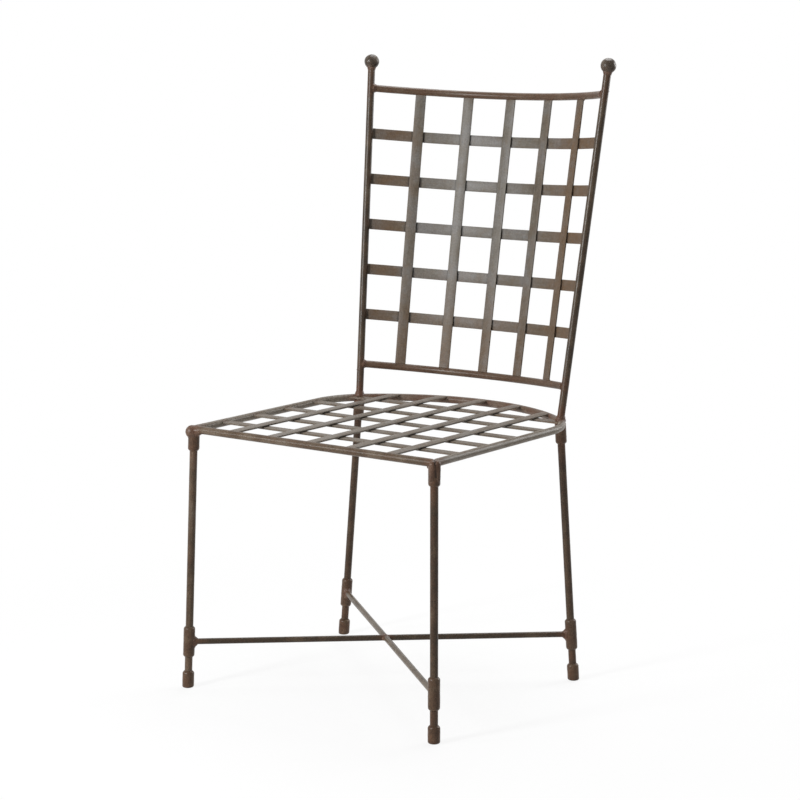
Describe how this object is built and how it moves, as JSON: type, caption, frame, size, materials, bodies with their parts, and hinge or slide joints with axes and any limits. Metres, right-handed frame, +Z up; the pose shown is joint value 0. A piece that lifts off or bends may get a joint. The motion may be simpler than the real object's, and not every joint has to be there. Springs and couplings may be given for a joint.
{
  "type": "metal garden side chair",
  "caption": "Armless tall-backed garden side chair of round steel rod and flat strap, with a strap lattice seat and a curved lattice back",
  "frame": {"origin": "on the floor, under the middle of the chair's overall width and depth", "axes": "+Z up, the chair faces -Y, +X towards the right side as seen by someone facing the chair's front"},
  "size_m": [0.5348, 0.61, 1.0557],
  "materials": {
    "rod_steel": "brown rust patina under a satin clear coat",
    "strap_steel": "grey-brown mill scale patina under a satin clear coat",
    "tube_steel": "dark brown rust patina under a satin clear coat",
    "forged_ball": "hammered brown patina under a satin clear coat",
    "weld_rust": "red-brown weld bloom under a satin clear coat"
  },
  "bodies": {
    "root": {"back_post_left": "rod_steel", "back_post_right": "rod_steel", "back_rail_welds": "weld_rust", "back_row_1": "strap_steel", "back_row_2": "strap_steel", "back_row_3": "strap_steel", "back_row_4": "strap_steel", "back_row_5": "strap_steel", "back_upright_1": "strap_steel", "back_upright_2": "strap_steel", "back_upright_3": "strap_steel", "back_upright_4": "strap_steel", "back_upright_5": "strap_steel", "bottom_back_rail": "rod_steel", "finial_left": "forged_ball", "finial_right": "forged_ball", "front_left_collar": "tube_steel", "front_left_ferrule": "tube_steel", "front_left_sleeve": "tube_steel", "front_leg_left": "rod_steel", "front_leg_right": "rod_steel", "front_right_collar": "tube_steel", "front_right_ferrule": "tube_steel", "front_right_sleeve": "tube_steel", "front_seat_rail": "rod_steel", "post_foot_welds": "weld_rust", "rear_left_collar": "tube_steel", "rear_left_ferrule": "tube_steel", "rear_left_sleeve": "tube_steel", "rear_leg_left": "rod_steel", "rear_leg_right": "rod_steel", "rear_right_collar": "tube_steel", "rear_right_ferrule": "tube_steel", "rear_right_sleeve": "tube_steel", "ring_corner_welds": "weld_rust", "seat_column_1": "strap_steel", "seat_column_2": "strap_steel", "seat_column_3": "strap_steel", "seat_column_4": "strap_steel", "seat_column_5": "strap_steel", "seat_hoop": "rod_steel", "seat_row_1": "strap_steel", "seat_row_2": "strap_steel", "seat_row_3": "strap_steel", "seat_row_4": "strap_steel", "seat_row_5": "strap_steel", "stretcher_crossing_weld": "weld_rust", "stretcher_end_welds": "weld_rust", "stretcher_half_front": "rod_steel", "stretcher_half_rear": "rod_steel", "stretcher_long": "rod_steel", "top_back_rail": "rod_steel"}
  },
  "joints": []
}
